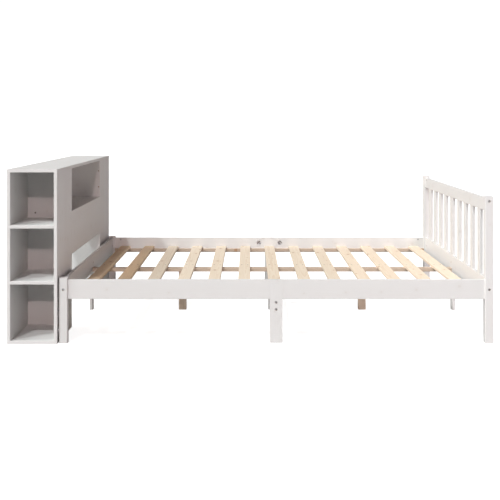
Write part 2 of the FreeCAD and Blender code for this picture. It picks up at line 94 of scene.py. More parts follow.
NODES = frame["nodes"]
MM = 0.001
AXES = (Vector((1, 0, 0)), Vector((0, 1, 0)), Vector((0, 0, 1)))
SIDES = ("left", "right")
ENDS = ("head", "foot")
MID_POST_LOW, MID_POST_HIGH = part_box("mid_post_left")
BED_MID = (MID_POST_LOW.x + MID_POST_HIGH.x) / 2
PROUD = 1 * MM  # how far a cutter stands out of what it cuts
POCKET_OFFSET = 67 * MM  # from mid-length to the middle of a round pocket
POCKET_RADIUS = 14 * MM
POCKET_DEPTH = 15.5 * MM
ROD_RADIUS = 3 * MM  # of the rods and of the bolts' shanks
BORE_RADIUS = 3.3 * MM
COUNTERBORE_DEPTH = 12 * MM
BARREL_RADIUS = 5 * MM
BARREL_LENGTH = 14 * MM
BARREL_BORE_RADIUS = 5.2 * MM
BARREL_BORE_LENGTH = 18 * MM
OPEN_HOLE_HEIGHTS = (0.651, 0.747)
OPEN_HOLE_RADIUS = 4 * MM
OPEN_HOLE_DEPTH = 16 * MM
SCREW_SPREAD = 17 * MM  # a slat's screws, each side of its middle
SHELF_SCREW_SPREAD = 65 * MM  # a divider's screws, each side of the shelf's middle
DIVIDER_EDGE = 0.5 * MM
CENTRE_EDGE = 0.6 * MM  # on the niche's boards and the panel below it
# The slats beside the bookcase that this counts get browner wood as painted shade, which stands in for the
# bookcase's shadow on them.
SHADE_BROWNED_SLATS = 2  # how many slats beside the bookcase are browner
GRAIN = "grain"  # attribute: where a point is in its board, from the tree's pith
# The bores' dark bare wood is partly painted shade: pine really bared by the drill, but darker than the pine
# to stand in for the shade deep in the bores.
BARE_SHADED = "bare"  # attribute: 1 inside a bore, where there is no lacquer


# ---- Settings ----


def length_property(name, description, default, least, most):
    """A length, given in millimetres."""
    return bpy.props.FloatProperty(
        name=name, description=description, default=default * MM, min=least * MM, max=most * MM,
        subtype="DISTANCE", unit="LENGTH")


def colour_property(name, description, default):
    return bpy.props.FloatVectorProperty(
        name=name, description=description, default=default, min=0, max=1, size=3, subtype="COLOR")


class BedSizes(bpy.types.PropertyGroup):
    board_edge: length_property("Board edge", "Rounding of the bookcase boards' edges", 1.0, 0.2, 2)
    frame_edge: length_property(
        "Rail edge", "Rounding of the rails', bars' and slats' long edges", 2.0, 0.5, 3)
    post_edge: length_property("Post edge", "Rounding of the posts' upright edges", 3.0, 1, 4)
    fine_edge: length_property("Fine edge", "Break on sawn ends and on the mouths of bores", 0.4, 0.1, 1)
    counterbore: length_property("Counterbore", "Radius of the bore that hides a bolt's head", 6.0, 5.5, 8)
    screw_head: length_property("Screw head", "Radius of the wood screws' countersunk heads", 4.3, 2.5, 5)


class BedColours(bpy.types.PropertyGroup):
    lacquer: colour_property("Lacquer", "White lacquer on the frame and the bookcase", (0.75, 0.745, 0.74))
    lacquer_knot: colour_property("Lacquered knot", "Lacquer over a knot", (0.62, 0.58, 0.54))
    early_wood: colour_property("Early wood", "Pale part of the pine's year rings", (0.90, 0.775, 0.63))
    late_wood: colour_property("Late wood", "Dark part of the pine's year rings", (0.75, 0.56, 0.39))
    # Painted shade: the browner pine of the slats beside the bookcase stands in for the bookcase's shadow on
    # them.
    shade_browned_early_wood: colour_property(
        "Brown slats' early wood", "Pale part of the browner pine beside the bookcase", (0.86, 0.66, 0.45))
    shade_browned_late_wood: colour_property(
        "Brown slats' late wood", "Dark part of the browner pine beside the bookcase", (0.70, 0.46, 0.27))
    # Painted shade: the bearers' darker pine stands in for the shade under the slats and under the bed.
    shadowed_bearer_early_wood: colour_property(
        "Bearers' early wood", "Pale part of the darker pine under the slats", (0.59, 0.475, 0.385))
    shadowed_bearer_late_wood: colour_property(
        "Bearers' late wood", "Dark part of the darker pine under the slats", (0.46, 0.335, 0.24))
    # Partly painted shade: the bores' bare wood is darker than the pine, for the shade deep in the bores.
    bare_wood_and_bore_shade: colour_property("Bare wood", "Drilled wood inside the bores", (0.36, 0.26, 0.18))
    knot: colour_property("Knot", "Heart of a knot in the pine", (0.40, 0.21, 0.10))
    zinc: colour_property("Zinc", "Zinc plating on bolts, nuts and rods", (0.54, 0.55, 0.57))
    beech: colour_property("Beech", "Beech of the dowels", (0.66, 0.45, 0.28))
    floor: colour_property("Floor", "Studio floor", (0.45, 0.45, 0.45))


class BedStage(bpy.types.PropertyGroup):
    lens: bpy.props.FloatProperty(
        name="Lens", description="Focal length of the camera", default=69.5, min=20, max=200, unit="CAMERA")
    camera_height: length_property(
        "Camera height", "Height of the level camera above the floor", 1062, 200, 3000)
    camera_distance: length_property(
        "Camera distance", "From the camera to the bed's centre line", 5393.5, 2000, 12000)
    camera_shift: bpy.props.FloatProperty(
        name="Lens shift", description="How far the level camera's lens is shifted down",
        default=-0.262, min=-0.5, max=0.5)
    fill: bpy.props.FloatProperty(
        name="Fill light", description="Strength of the room's light from beyond the head",
        default=0.73, min=0, max=5)
    fill_colour: colour_property("Fill colour", "Colour of the room's light", (1.0, 0.90, 0.82))
    floor_glow: bpy.props.FloatProperty(
        name="Floor glow", description="How much the floor is brightened to the camera alone",
        default=0.88, min=0, max=1)


def sizes():
    return bpy.context.scene.bed_sizes


def colours():
    return bpy.context.scene.bed_colours


# ---- Modelling ----


def deselect():
    if bpy.context.object and bpy.context.object.mode != "OBJECT":
        bpy.ops.object.mode_set(mode="OBJECT")
    bpy.ops.object.select_all(action="DESELECT")


def take(piece):
    """Select one piece alone and make it active."""
    deselect()
    piece.select_set(True)
    bpy.context.view_layer.objects.active = piece


def new_piece(name):
    """Name the primitive just added and put its place in its mesh."""
    piece = bpy.context.object
    piece.name = name
    bpy.ops.object.transform_apply(location=True, rotation=True, scale=True)
    return piece


def block(name, low, high):
    deselect()
    low, high = Vector(low), Vector(high)
    bpy.ops.mesh.primitive_cube_add(size=1, location=(low + high) / 2, scale=high - low)
    return new_piece(name)


def rod(name, start, direction, radius, length, sides=32):
    """A round bar, or one with as many flats as sides."""
    deselect()
    turn = direction.to_track_quat("Z", "Y").to_euler()
    middle = start + direction * length / 2
    bpy.ops.mesh.primitive_cone_add(
        vertices=sides, radius1=radius, radius2=radius, depth=length, location=middle, rotation=turn)
    return new_piece(name)


def edit(piece, kind, chosen):
    """Open a piece in edit mode with those edges or faces selected for which chosen holds."""
    take(piece)
    bpy.ops.object.mode_set(mode="EDIT")
    bpy.ops.mesh.select_mode(type=kind)
    bpy.ops.mesh.select_all(action="DESELECT")
    mesh = bmesh.from_edit_mesh(piece.data)
    for item in mesh.edges if kind == "EDGE" else mesh.faces:
        item.select_set(chosen(item))
    bmesh.update_edit_mesh(piece.data)


def edit_edges(piece, chosen):
    """Select the edges for which chosen(one end, other end) holds."""
    edit(piece, "EDGE", lambda edge: chosen(edge.verts[0].co, edge.verts[1].co))


def edit_faces(piece, chosen):
    """Select the faces for which chosen(middle, normal) holds."""
    edit(piece, "FACE", lambda face: chosen(face.calc_center_median(), face.normal))


def extrude(rise):
    """Extrude what is selected along Z."""
    bpy.ops.mesh.extrude_region_move(TRANSFORM_OT_translate={"value": (0, 0, rise)})


def round_edges(piece, axis, radius, segments=3):
    """Round the edges that run along one axis."""
    edit_edges(piece, lambda a, b: abs((b - a).normalized()[axis]) > 0.99)
    bpy.ops.mesh.bevel(offset=radius, segments=segments, profile=0.5, affect="EDGES")
    bpy.ops.object.mode_set(mode="OBJECT")


def apply_modifier(piece, kind, **settings):
    take(piece)
    modifier = piece.modifiers.new(kind.title(), kind)
    for name, value in settings.items():
        setattr(modifier, name, value)
    bpy.ops.object.modifier_apply(modifier=modifier.name)


def box_of_points(points):
    return [Vector([end(p[i] for p in points) for i in range(3)]) for end in (min, max)]


def box_of(piece):
    return box_of_points([vertex.co for vertex in piece.data.vertices])


def long_axis(low, high):
    return max(range(3), key=lambda i: high[i] - low[i])


def depth_in(point, low, high):
    """How deep a point lies in a box, less than 0 outside it."""
    return min(min(c - a, b - c) for a, b, c in zip(low, high, point))


def cut(piece, cutters):
    """Cut the bores that meet a piece out of it."""
    low, high = box_of(piece)
    for cutter in cutters:
        c_low, c_high = box_of(cutter)
        if all(min(high[i], c_high[i]) - max(low[i], c_low[i]) > 0.05 * MM for i in range(3)):
            apply_modifier(piece, "BOOLEAN", operation="DIFFERENCE", solver="EXACT", object=cutter)


def finish_edges(piece, width, segments=2):
    """Break the edges that are still sharp, and shade the flats flat and the rounds round."""
    apply_modifier(piece, "BEVEL", width=width, segments=segments, limit_method="ANGLE",
                   angle_limit=math.radians(40), use_clamp_overlap=True)
    bpy.ops.object.shade_smooth()
    apply_modifier(piece, "WEIGHTED_NORMAL", weight=80, keep_sharp=False)


def remove(pieces):
    for piece in pieces:
        bpy.data.meshes.remove(piece.data)


def copy_of(piece, name, place):
    """A copy with a mesh of its own, moved by a matrix."""
    copy = piece.copy()
    copy.data = piece.data.copy()
    copy.name = name
    copy.data.transform(place)
    bpy.context.scene.collection.objects.link(copy)
    return copy


def joined(name, pieces):
    deselect()
    for piece in pieces:
        piece.select_set(True)
    bpy.context.view_layer.objects.active = pieces[0]
    if len(pieces) > 1:
        bpy.ops.object.join()
    pieces[0].name = name
    return pieces[0]


def slat_nodes():
    return sorted(name for name in NODES if name.startswith("slat_"))


def solids_of(node):
    """The corner points of each separate solid of a CAD node."""
    mesh = bmesh.new()
    mesh.from_mesh(NODES[node].data)
    bmesh.ops.remove_doubles(mesh, verts=mesh.verts, dist=0.01 * MM)
    mesh.verts.ensure_lookup_table()
    seen, found = set(), []
    for first in mesh.verts:
        if first.index in seen:
            continue
        seen.add(first.index)
        group, reached = [], [first]
        while reached:
            vertex = reached.pop()
            group.append(vertex.co.copy())
            for edge in vertex.link_edges:
                other = edge.other_vert(vertex)
                if other.index not in seen:
                    seen.add(other.index)
                    reached.append(other)
        found.append(group)
    mesh.free()
    return found


def boxes_of(node):
    return [box_of_points(points) for points in solids_of(node)]


def repeats(boxes, model, kind=lambda low: None):
    """A piece in each box. The first of each size and kind is modelled, and the others are its copies."""
    patterns, pieces = {}, []
    for low, high in boxes:
        key = (*(round(length, 4) for length in high - low), kind(low))
        if key in patterns:
            first, start = patterns[key]
            pieces.append(copy_of(first, first.name, Matrix.Translation(low - start)))
        else:
            pieces.append(model(low, high))
            patterns[key] = pieces[-1], low
    return pieces


def hand_over(piece, slot, *nodes, maker=None):
    """Give a finished piece its material and its place in the frame."""
    piece.data.materials.clear()
    piece.data.materials.append(finish(slot, maker))
    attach(piece, "root")
    if nodes:
        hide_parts(*nodes)


# ---- Wood grain ----


def lay_grain(piece, name, low, high):
    """Store where each point is in its board: along the grain, and across it from the pith."""
    draw = random.Random(name)
    size = high - low
    order = sorted(range(3), key=lambda i: size[i], reverse=True)
    middle = (low + high) / 2
    along = draw.uniform(0, 40)
    beside = draw.uniform(-0.3, 0.3) * size[order[1]]
    below = draw.uniform(0.022, 0.075) * draw.choice((-1, 1))
    values = []
    for vertex in piece.data.vertices:
        offset = vertex.co - middle
        values += [offset[order[0]] + along, offset[order[1]] + beside, offset[order[2]] + below]
    attributes = piece.data.attributes
    layer = attributes.get(GRAIN) or attributes.new(GRAIN, "FLOAT_VECTOR", "POINT")
    layer.data.foreach_set("vector", values)


def mark_shaded_bores(piece, low, high, cutters):
    """Mark the faces inside the bores, which the lacquer leaves bare and which get a dark bare-wood colour
    that is partly painted shade. The round pockets are lacquered.
    """
    deeper_than_edges, beside_pocket = 2.5 * MM, -0.5 * MM
    layer = piece.data.attributes.new(BARE_SHADED, "FLOAT", "FACE")
    pockets = [box_of(cutter) for cutter in cutters if cutter.name.startswith("pocket")]
    for face in piece.data.polygons:
        in_pocket = any(depth_in(face.center, *ends) > beside_pocket for ends in pockets)
        in_board = depth_in(face.center, low, high) > deeper_than_edges
        layer.data[face.index].value = float(in_board and not in_pocket)


def shaped_boards(boxes, axis, radius, cutters, segments=3):
    """Boards by name, with rounded long edges, their bores and their grain. One size is one shape."""
    def model(low, high):
        piece = block("board", low, high)
        round_edges(piece, axis, radius, segments)
        cut(piece, cutters)
        finish_edges(piece, sizes().fine_edge)
        mark_shaded_bores(piece, low, high, cutters)
        return piece

    pieces = repeats(boxes.values(), model)
    for piece, (name, box) in zip(pieces, boxes.items()):
        piece.name = name
        lay_grain(piece, name, *box)
    return pieces


# ---- Bores and where the hardware is ----


def line_of(low, high):
    """The axis, the length and the start of a bar that fills a box."""
    axis = long_axis(low, high)
    length = (high - low)[axis]
    return axis, length, (low + high) / 2 - AXES[axis] * (length / 2)


class Bolt:
    """A bolt's seat, its direction and its length, as the CAD has it."""

    HEAD_HEIGHT = 5 * MM
    HEAD_RADIUS = 5 * MM
    PAST_SHANK = 4 * MM  # from the axis: only the head reaches further

    def __init__(self, points):
        axis, length, start = line_of(*box_of_points(points))
        middle = start + AXES[axis] * (length / 2)
        head = [p[axis] for p in points if (p - start).cross(AXES[axis]).length > self.PAST_SHANK]
        self.direction = AXES[axis] * (-1 if sum(head) / len(head) > middle[axis] else 1)
        self.seat = middle + self.direction * (self.HEAD_HEIGHT - length / 2)
        self.length = length - self.HEAD_HEIGHT


def inward(axis, middle):
    """The way that a barrel nut goes out of its rail: the less seen face."""
    if axis == 1:
        return AXES[1] * (-1 if middle.y > 0 else 1)
    if axis == 0:
        before_middle = BED_MID - middle.x > 0.1
        return AXES[0] * (1 if before_middle else -1)
    return AXES[2] * -1


def all_bores():
    """A cutter for each bore in the wood."""
    bores = []
    for points in solids_of("frame_bolts"):
        bolt = Bolt(points)
        mouth = bolt.seat - bolt.direction * COUNTERBORE_DEPTH
        bores.append(rod("bore", mouth, bolt.direction, sizes().counterbore, COUNTERBORE_DEPTH))
        start = bolt.seat - bolt.direction * PROUD
        bores.append(rod("bore", start, bolt.direction, BORE_RADIUS, bolt.length + 2 * PROUD))
    for low, high in boxes_of("barrel_nuts"):
        middle = (low + high) / 2
        out = inward(long_axis(low, high), middle)
        start = middle - out * BARREL_LENGTH / 2
        bores.append(rod("bore", start, out, BARREL_BORE_RADIUS, BARREL_BORE_LENGTH))
    for low, high in boxes_of("threaded_rods"):
        axis, length, start = line_of(low, high)
        bores.append(rod("bore", start, AXES[axis], BORE_RADIUS, length + PROUD))
    return bores


def pocket_cutters():
    """The round pockets on the side rails' inner faces."""
    cutters = []
    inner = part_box("side_rail_head_left")[0].y
    for low, high in boxes_of("rod_nuts"):
        side = 1 if low.y > 0 else -1
        end = 1 if low.x > BED_MID else -1
        centre = Vector((BED_MID + end * POCKET_OFFSET, side * (inner - PROUD), (low.z + high.z) / 2))
        cutters.append(rod("pocket", centre, AXES[1] * side, POCKET_RADIUS, POCKET_DEPTH + PROUD, 48))
    return cutters


def open_edge_holes():
    """The open dowel holes in the front columns' edges, beside the niche."""
    holes = []
    low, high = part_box("front_column_left")
    x = (low.x + high.x) / 2
    for side in (1, -1):
        for z in OPEN_HOLE_HEIGHTS:
            start = Vector((x, side * (low.y - PROUD), z))
            holes.append(rod("bore", start, AXES[1] * side, OPEN_HOLE_RADIUS, OPEN_HOLE_DEPTH + PROUD))
    return holes


# ---- Materials ----


class Term:
    """A value in a material. Arithmetic on it adds Math nodes."""

    def __init__(self, recipe, socket):
        self.recipe, self.socket = recipe, socket

    def maths(self, operation, *terms):
        return self.recipe.node("ShaderNodeMath", {"operation": operation}, dict(enumerate(terms)))

    def __add__(self, other):
        return self.maths("ADD", self, other)

    __radd__ = __add__

    def __sub__(self, other):
        return self.maths("SUBTRACT", self, other)

    def __rsub__(self, other):
        return self.maths("SUBTRACT", other, self)

    def __mul__(self, other):
        return self.maths("MULTIPLY", self, other)

    __rmul__ = __mul__

    def __truediv__(self, other):
        return self.maths("DIVIDE", self, other)

    def __rtruediv__(self, other):
        return self.maths("DIVIDE", other, self)

    def of(self, operation, *others):
        """Any other Math operation, such as FRACT or EXPONENT."""
        return self.maths(operation, self, *others)


class Recipe:
    """The nodes of one material, or of the world around the object."""

    def __init__(self, owner):
        owner.use_nodes = True
        self.tree = owner.node_tree
        self.tree.nodes.clear()

    def node(self, kind, settings, sockets, output=0):
        """Add a node: its settings first, then its sockets' values or links."""
        node = self.tree.nodes.new(kind)
        for name, value in settings.items():
            if name == "stops":
                ramp = node.color_ramp
                while len(ramp.elements) < len(value):
                    ramp.elements.new(0.5)
                for element, (position, shade) in zip(ramp.elements, value):
                    element.position = position
                    element.color = (shade, shade, shade, 1)
            else:
                setattr(node, name, value)
        for key, value in sockets.items():
            if isinstance(value, Term):
                self.tree.links.new(value.socket, node.inputs[key])
            else:
                node.inputs[key].default_value = value
        return Term(self, node.outputs[output]) if node.outputs else node

    def mix(self, factor, first, second):
        """A colour between two, by a factor."""
        ends = {6: first, 7: second}
        ends = {key: value if isinstance(value, Term) else (*value, 1) for key, value in ends.items()}
        return self.node("ShaderNodeMix", {"data_type": "RGBA"}, {0: factor, **ends}, 2)

    def vector(self, operation, *terms):
        output = "Value" if operation == "LENGTH" else "Vector"
        return self.node("ShaderNodeVectorMath", {"operation": operation}, dict(enumerate(terms)), output)

    def scaled(self, vector, factors):
        return self.vector("MULTIPLY", vector, factors)

    def attribute(self, name, output):
        return self.node("ShaderNodeAttribute", {"attribute_name": name}, {}, output)

    def parts(self, vector):
        return [self.node("ShaderNodeSeparateXYZ", {}, {0: vector}, i) for i in range(3)]

    def joined(self, x, y, z):
        return self.node("ShaderNodeCombineXYZ", {}, {0: x, 1: y, 2: z})

    def noise(self, vector, scale, detail=2.0, roughness=0.5):
        sockets = {"Vector": vector, "Scale": scale, "Detail": detail, "Roughness": roughness}
        return self.node("ShaderNodeTexNoise", {}, sockets)

    def stepped(self, value, low, high):
        """0 below low, 1 above high and smooth between them."""
        sockets = {"Value": value, "From Min": low, "From Max": high}
        return self.node("ShaderNodeMapRange", {"interpolation_type": "SMOOTHSTEP"}, sockets)

    def bump(self, height, distance):
        return self.node("ShaderNodeBump", {}, {"Height": height, "Distance": distance, "Strength": 1.0})

    def surface(self, colour, roughness, normal, **constants):
        sockets = {"Base Color": colour, "Roughness": roughness, "Normal": normal}
        sockets.update({key.replace("_", " "): value for key, value in constants.items()})
        shader = self.node("ShaderNodeBsdfPrincipled", {}, sockets)
        self.node("ShaderNodeOutputMaterial", {}, {"Surface": shader})


def pine_figure(recipe, knot_share):
    """The year rings, knots and fibres of pine, from the grain attribute."""
    grain = recipe.attribute(GRAIN, "Vector")
    along, beside, below = recipe.parts(grain)
    knot_length, knot_width = 0.17, 0.062
    cell = recipe.joined(along / knot_length, beside / knot_width, 0.0)
    found = {"voronoi_dimensions": "2D", "feature": "F1"}
    sockets = {"Vector": cell, "Scale": 1.0, "Randomness": 0.85}
    spot = recipe.node("ShaderNodeTexVoronoi", found, sockets, "Position")
    chance = recipe.node("ShaderNodeTexVoronoi", found, sockets, "Color")
    luck, size, _ = recipe.parts(chance)
    offset = recipe.scaled(recipe.vector("SUBTRACT", cell, spot), (knot_length * 0.78, knot_width, 0))
    present = recipe.stepped(luck, 1 - knot_share, 1.01 - knot_share)
    radius = (0.0028 + size * 0.0055) * present + 0.00001
    wobble = recipe.noise(grain, 260, 2) * 0.5 + 0.75
    reach = recipe.vector("LENGTH", offset) * wobble / radius
    knot = 1 - recipe.stepped(reach, 0.8, 1.1)
    halo = (reach * reach * -0.16).of("EXPONENT")

    wander = recipe.noise(recipe.scaled(grain, (1.6, 9, 9)), 1.0, 2) * 0.016
    ripple = recipe.noise(recipe.scaled(grain, (9, 60, 60)), 1.0, 2) * 0.0022
    from_pith = (beside * beside + below * below).of("SQRT") + wander + ripple + halo * radius * 1.5
    uneven = recipe.noise(recipe.joined(from_pith, 0.0, 0.0), 55, 1) * 3.0
    rings_per_metre = 330
    ring = (from_pith * rings_per_metre + uneven).of("FRACT")
    late = recipe.node("ShaderNodeValToRGB", {
        "stops": [(0.0, 0.25), (0.12, 0.06), (0.55, 0.22), (0.86, 0.9), (0.97, 1.0), (1.0, 0.3)]}, {0: ring})
    fibre = recipe.noise(recipe.scaled(grain, (14, 900, 900)), 1.0, 3, 0.6)
    return {"grain": grain, "late": recipe.parts(late)[0], "knot": knot, "halo": halo, "fibre": fibre,
            "reach": reach}


def planed_pine(recipe):
    """The pale planed pine of the slats."""
    plain_pine(recipe, colours().early_wood, colours().late_wood)


def brown_pine(recipe):
    """Pine made browner as painted shade, for the two slats beside the bookcase that lie in its shadow."""
    plain_pine(recipe, colours().shade_browned_early_wood, colours().shade_browned_late_wood)


def bearer_pine(recipe):
    """Pine made darker as painted shade, for the beam, the battens and their legs, which lie in shade under
    the slats and the bed.
    """
    plain_pine(recipe, colours().shadowed_bearer_early_wood, colours().shadowed_bearer_late_wood)


def plain_pine(recipe, early_wood, late_wood):
    figure = pine_figure(recipe, 0.38)
    board = recipe.noise(recipe.scaled(figure["grain"], (0.9, 5, 5)), 1.0, 1)
    colour = recipe.mix(figure["late"] * (0.25 + board * 0.45), early_wood, late_wood)
    colour = recipe.mix(figure["halo"] * 0.5, colour, late_wood)
    eye = (figure["reach"] * 9).of("SINE") * 0.2 + 0.75
    colour = recipe.mix(figure["knot"] * eye, colour, colours().knot)
    colour = recipe.mix(figure["fibre"] * 0.12, colour, (0.55, 0.36, 0.2))
    roughness = 0.5 + figure["late"] * -0.08 + figure["fibre"] * 0.12
    height = figure["late"] * 0.5 + figure["fibre"] * 0.5 + figure["knot"] * 0.4
    recipe.surface(colour, roughness, recipe.bump(height, 0.00012), Specular_IOR_Level=0.35)


def lacquered_pine(recipe):
    """White lacquer thin enough to show the pine's rings and knots a little."""
    figure = pine_figure(recipe, 0.5)
    tone = colours()
    cloud = recipe.noise(recipe.scaled(figure["grain"], (2.5, 14, 14)), 1.0, 2)
    colour = recipe.mix(cloud * 0.16 + figure["late"] * 0.05, tone.lacquer, tone.lacquer_knot)
    colour = recipe.mix(figure["halo"] * 0.16 + figure["knot"] * 0.22, colour, tone.lacquer_knot)
    # Inside the bores: bare wood, darkened as painted shade.
    colour = recipe.mix(recipe.attribute(BARE_SHADED, "Fac"), colour, tone.bare_wood_and_bore_shade)
    spray = recipe.noise(figure["grain"], 900, 2)
    roughness = 0.38 + cloud * 0.08 + spray * 0.05
    height = figure["late"] * 0.45 + figure["fibre"] * 0.3 + figure["knot"] * 0.8 + spray * 0.35
    recipe.surface(colour, roughness, recipe.bump(height, 0.00008), Specular_IOR_Level=0.3)


def plated_steel(recipe):
    """Zinc-plated steel with turning marks and dull spots."""
    place = recipe.node("ShaderNodeTexCoord", {}, {}, "Object")
    dull = recipe.noise(place, 240, 3)
    scratch = recipe.noise(recipe.scaled(place, (900, 2600, 900)), 1.0, 2)
    colour = recipe.mix(dull * 0.5, colours().zinc, (0.50, 0.51, 0.53))
    roughness = 0.34 + dull * 0.2 + scratch * 0.08
    recipe.surface(colour, roughness, recipe.bump(scratch * 0.5 + dull, 0.00004), Metallic=1.0)


def black_steel(recipe):
    """The phosphated steel of the wood screws."""
    place = recipe.node("ShaderNodeTexCoord", {}, {}, "Object")
    worn = recipe.noise(place, 700, 3)
    colour = recipe.mix(worn * 0.3, (0.035, 0.034, 0.034), (0.12, 0.115, 0.11))
    recipe.surface(colour, 0.5 + worn * 0.15, recipe.bump(worn, 0.00003), Metallic=0.6)


def threaded_steel(recipe):
    """Zinc-plated steel with a rolled thread of 1 mm pitch along the bar, and painted shade darkening the
    thread's grooves.
    """
    grain = recipe.attribute(GRAIN, "Vector")
    pitch = 1 * MM
    turns = recipe.parts(grain)[0] * (2 * math.pi / pitch)
    thread = turns.of("SINE") * 0.5 + 0.5
    dull = recipe.noise(grain, 240, 3)
    # Painted shade: the colour darkens in the thread's grooves.
    colour = recipe.mix(dull * 0.4 + thread * -0.35 + 0.35, colours().zinc, (0.30, 0.31, 0.33))
    recipe.surface(colour, 0.28 + dull * 0.2, recipe.bump(thread, 0.0003), Metallic=1.0)


def steamed_beech(recipe):
    """Steamed beech with its short dark flecks."""
    place = recipe.node("ShaderNodeTexCoord", {}, {}, "Object")
    fleck = recipe.noise(recipe.scaled(place, (500, 500, 160)), 1.0, 3, 0.7)
    dark = recipe.stepped(fleck, 0.52, 0.64)
    colour = recipe.mix(dark * 0.6, colours().beech, (0.40, 0.24, 0.13))
    recipe.surface(colour, 0.5 + dark * 0.1, recipe.bump(fleck, 0.0001))


FINISHES = {
    "white_lacquer": lacquered_pine,
    "natural_pine": planed_pine,
    "zinc_steel": plated_steel,
    "beech": steamed_beech,
}


def finish(slot, maker=None):
    """The material for one of the record's slots, made the first time that it is asked for."""
    maker = maker or FINISHES[slot]
    material = bpy.data.materials.get(maker.__name__)
    if not material:
        material = bpy.data.materials.new(maker.__name__)
        maker(Recipe(material))
    return material


# ---- Operators: bookcase ----


class PieceOperator:
    bl_options = {"REGISTER", "UNDO"}

    def execute(self, context):
        before = len(bpy.data.objects)
        self.make()
        if len(bpy.data.objects) == before:
            raise RuntimeError(f"{self.bl_idname} made nothing")
        return {"FINISHED"}

    @staticmethod
    def boards(nodes, axis, radius, cutters=(), segments=3, slot="white_lacquer", maker=None):
        """Make a board for each node. Boards of one size but with other bores are made one by one."""
        prefix = "planed" if slot == "natural_pine" else "lacquered"
        boxes = {f"{prefix}_{node}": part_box(node) for node in nodes}
        for piece, node in zip(shaped_boards(boxes, axis, radius, cutters, segments), nodes):
            hand_over(piece, slot, node, maker=maker)

    @staticmethod
    def board_set(name, node, prefix, axis, slot, maker=None):
        """Make the boards that stand for one node's solids, as one piece."""
        boxes = {f"{prefix}_{number}": box for number, box in enumerate(boxes_of(node), 1)}
        pieces = shaped_boards(boxes, axis, sizes().frame_edge, ())
        hand_over(joined(name, pieces), slot, node, maker=maker)


class BED_OT_bookcase_top(PieceOperator, bpy.types.Operator):
    """Make the board over the whole bookcase"""

    bl_idname = "bed.bookcase_top"
    bl_label = "Bookcase top"

    def make(self):
        self.boards(["bookcase_top"], 1, sizes().board_edge)


class BED_OT_bookcase_columns(PieceOperator, bpy.types.Operator):
    """Make the upright boards of the two side modules"""

    bl_idname = "bed.bookcase_columns"
    bl_label = "Bookcase columns and backs"

    def make(self):
        cutters = all_bores() + open_edge_holes()
        for side in SIDES:
            self.boards([f"front_column_{side}"], 2, sizes().board_edge, cutters)
        remove(cutters)
        self.boards([f"module_back_{side}" for side in SIDES], 2, sizes().board_edge)


class BED_OT_bookcase_dividers(PieceOperator, bpy.types.Operator):
    """Make the boards on the inner sides of the two side modules"""

    bl_idname = "bed.bookcase_dividers"
    bl_label = "Bookcase dividers"

    def make(self):
        cutters = screw_sinks()
        for side in SIDES:
            self.boards([f"divider_{side}"], 2, DIVIDER_EDGE, cutters)
        remove(cutters)


class BED_OT_bookcase_shelves(PieceOperator, bpy.types.Operator):
    """Make the base boards and shelves of the two side modules"""

    bl_idname = "bed.bookcase_shelves"
    bl_label = "Bookcase shelves"

    def make(self):
        names = ("base_board", "lower_shelf", "upper_shelf")
        self.boards([f"{name}_{side}" for side in SIDES for name in names], 0, sizes().board_edge)


class BED_OT_bookcase_centre(PieceOperator, bpy.types.Operator):
    """Make the niche and the panel below it"""

    bl_idname = "bed.bookcase_centre"
    bl_label = "Niche and centre panel"

    def make(self):
        self.boards(("niche_shelf", "niche_back_panel", "front_centre_panel"), 1, CENTRE_EDGE)


# ---- Operators: bed frame ----


class BED_OT_posts(PieceOperator, bpy.types.Operator):
    """Make the four corner posts with their counterbores"""

    bl_idname = "bed.posts"
    bl_label = "Corner posts"

    def make(self):
        cutters = all_bores()
        for side in SIDES:
            for end in ENDS:
                self.boards([f"{end}_post_{side}"], 2, sizes().post_edge, cutters, segments=5)
        remove(cutters)


class BED_OT_side_rails(PieceOperator, bpy.types.Operator):
    """Make the side rails, each in two halves with round pockets, and the posts between them"""

    bl_idname = "bed.side_rails"
    bl_label = "Side rails and mid posts"

    def make(self):
        cutters = all_bores() + pocket_cutters()
        for side in SIDES:
            for end in ENDS:
                self.boards([f"side_rail_{end}_{side}"], 0, sizes().frame_edge, cutters)
            self.boards([f"mid_post_{side}"], 2, sizes().board_edge, cutters)
        remove(cutters)


class BED_OT_cross_rails(PieceOperator, bpy.types.Operator):
    """Make the rails across the head and the foot"""

    bl_idname = "bed.cross_rails"
    bl_label = "Cross rails"

    def make(self):
        cutters = all_bores()
        for node in ("head_rail", "foot_lower_rail", "foot_top_rail"):
            self.boards([node], 1, sizes().frame_edge, cutters)
        remove(cutters)


class BED_OT_foot_uprights(PieceOperator, bpy.types.Operator):
    """Make the footboard's bars and its wider middle upright"""

    bl_idname = "bed.foot_uprights"
    bl_label = "Footboard uprights"

    def make(self):
        self.boards(["foot_centre_stile"], 2, sizes().frame_edge)
        self.board_set("lacquered_foot_bars", "foot_bars", "foot_bar", 2, "white_lacquer")


class BED_OT_legs(PieceOperator, bpy.types.Operator):
    """Make the legs on the centre line and the beam across the middle"""

    bl_idname = "bed.legs"
    bl_label = "Legs and cross beam"

    def make(self):
        cutters = all_bores()
        edge = sizes().frame_edge
        self.boards(["cross_beam"], 1, edge, cutters)
        for end in ENDS:
            self.boards([f"end_leg_{end}"], 2, edge, cutters)
        remove(cutters)
        self.boards(["centre_leg"], 2, edge)
        # The pine legs take the darker pine, painted shade under the bed.
        self.boards([f"pine_leg_{end}" for end in ENDS], 2, edge, slot="natural_pine", maker=bearer_pine)


# ---- Operators: slat base ----


